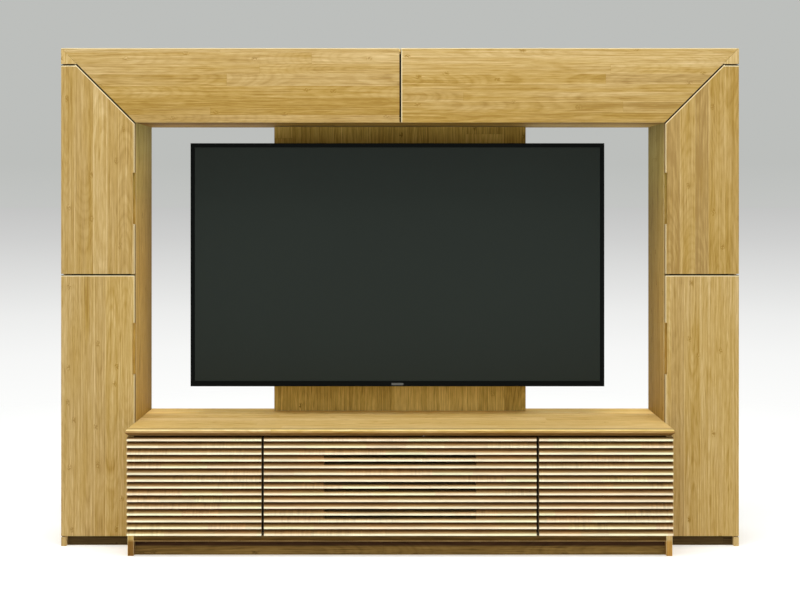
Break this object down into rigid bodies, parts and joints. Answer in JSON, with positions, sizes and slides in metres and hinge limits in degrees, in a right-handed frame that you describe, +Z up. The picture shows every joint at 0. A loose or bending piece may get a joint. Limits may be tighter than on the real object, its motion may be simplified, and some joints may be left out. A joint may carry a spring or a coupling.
{
  "type": "television wall unit",
  "caption": "Light oak television wall unit: tall side cupboards, overhead flap cupboard, slatted low console with drawers and drop front, flat television on a tilting bracket.",
  "frame": {"origin": "on the floor, under the middle of the whole unit's box", "axes": "+X to the right as seen from the front, +Y to the wall behind, so the front faces -Y, +Z up"},
  "size_m": [2.3, 0.445, 1.69],
  "materials": {
    "oak": "light honey oak veneer, satin lacquer, fine straight grain",
    "oak_shaded": "the same oak, unseen or shaded faces, matt",
    "slatted_oak": "solid light oak milled into louvre slats, satin lacquer",
    "steel": "zinc-plated hinge and runner steel",
    "black_plastic": "black satin moulded plastic",
    "black_steel": "black powder-coated sheet steel",
    "screen": "dark grey-green switched-off screen, semi-gloss"
  },
  "bodies": {
    "carcass": {"tower_left_outer_side": "oak", "tower_left_inner_side": "oak", "tower_left_top": "oak", "tower_left_bottom": "oak", "tower_left_middle_shelf": "oak", "tower_left_shelf_lower": "oak", "tower_left_shelf_upper": "oak", "tower_left_back": "oak_shaded", "tower_left_plinth": "oak_shaded", "tower_left_hinge_lower": "steel", "tower_left_hinge_upper": "steel", "tower_right_outer_side": "oak", "tower_right_inner_side": "oak", "tower_right_top": "oak", "tower_right_bottom": "oak", "tower_right_middle_shelf": "oak", "tower_right_shelf_lower": "oak", "tower_right_shelf_upper": "oak", "tower_right_back": "oak_shaded", "tower_right_plinth": "oak_shaded", "tower_right_hinge_lower": "steel", "tower_right_hinge_upper": "steel", "bridge_top": "oak", "bridge_bottom": "oak", "bridge_divider": "oak", "bridge_back": "oak_shaded", "bridge_hinge_left": "steel", "bridge_hinge_right": "steel", "console_top": "oak", "console_bottom": "oak", "console_side_left": "oak", "console_side_right": "oak", "console_divider_left": "oak", "console_divider_right": "oak", "console_back": "oak_shaded", "console_plinth": "oak_shaded", "console_av_shelf": "oak", "console_drop_hinge": "steel", "drawer_left_runner": "steel", "drawer_right_runner": "steel", "tv_panel": "oak", "tv_wall_plate": "black_steel"},
    "tower_left_door_lower": {"tower_left_door_lower": "oak"},
    "tower_left_door_upper": {"tower_left_door_upper": "oak"},
    "bridge_flap_left": {"bridge_flap_left": "oak", "bridge_corner_left": "oak"},
    "drawer_left": {"drawer_left_front": "slatted_oak", "drawer_left_box": "oak"},
    "tower_right_door_lower": {"tower_right_door_lower": "oak"},
    "tower_right_door_upper": {"tower_right_door_upper": "oak"},
    "bridge_flap_right": {"bridge_flap_right": "oak", "bridge_corner_right": "oak"},
    "drawer_right": {"drawer_right_front": "slatted_oak", "drawer_right_box": "oak"},
    "console_drop_front": {"console_drop_front": "slatted_oak"},
    "television": {"tv_bezel": "black_plastic", "tv_screen": "screen", "tv_sensor_window": "screen", "tv_back_cover": "black_plastic", "tv_tilt_bracket": "black_steel"}
  },
  "joints": [
    {"name": "tower_left_door_lower_hinge", "type": "hinge", "parent": "carcass", "child": "tower_left_door_lower", "pos_m": [-1.1455, -0.056, 0.034], "axis": [0, 0, -1], "range_deg": [0, 105]},
    {"name": "tower_left_door_upper_hinge", "type": "hinge", "parent": "carcass", "child": "tower_left_door_upper", "pos_m": [-1.1455, -0.056, 0.9235], "axis": [0, 0, -1], "range_deg": [0, 105]},
    {"name": "tower_right_door_lower_hinge", "type": "hinge", "parent": "carcass", "child": "tower_right_door_lower", "pos_m": [1.1455, -0.056, 0.034], "axis": [0, 0, 1], "range_deg": [0, 105]},
    {"name": "tower_right_door_upper_hinge", "type": "hinge", "parent": "carcass", "child": "tower_right_door_upper", "pos_m": [1.1455, -0.056, 0.9235], "axis": [0, 0, 1], "range_deg": [0, 105]},
    {"name": "bridge_flap_left_hinge", "type": "hinge", "parent": "carcass", "child": "bridge_flap_left", "pos_m": [0, -0.056, 1.6855], "axis": [-1, 0, 0], "range_deg": [0, 85]},
    {"name": "bridge_flap_right_hinge", "type": "hinge", "parent": "carcass", "child": "bridge_flap_right", "pos_m": [0, -0.056, 1.6855], "axis": [-1, 0, 0], "range_deg": [0, 85]},
    {"name": "console_drop_front_hinge", "type": "hinge", "parent": "carcass", "child": "console_drop_front", "pos_m": [0, -0.204, 0.0695], "axis": [1, 0, 0], "range_deg": [0, 90]},
    {"name": "drawer_left_slide", "type": "slide", "parent": "carcass", "child": "drawer_left", "axis": [0, -1, 0], "range_m": [0, 0.32]},
    {"name": "drawer_right_slide", "type": "slide", "parent": "carcass", "child": "drawer_right", "axis": [0, -1, 0], "range_m": [0, 0.32]},
    {"name": "television_tilt", "type": "hinge", "parent": "carcass", "child": "television", "pos_m": [-0.009, 0.137, 0.948], "axis": [1, 0, 0], "range_deg": [-5, 5]}
  ]
}
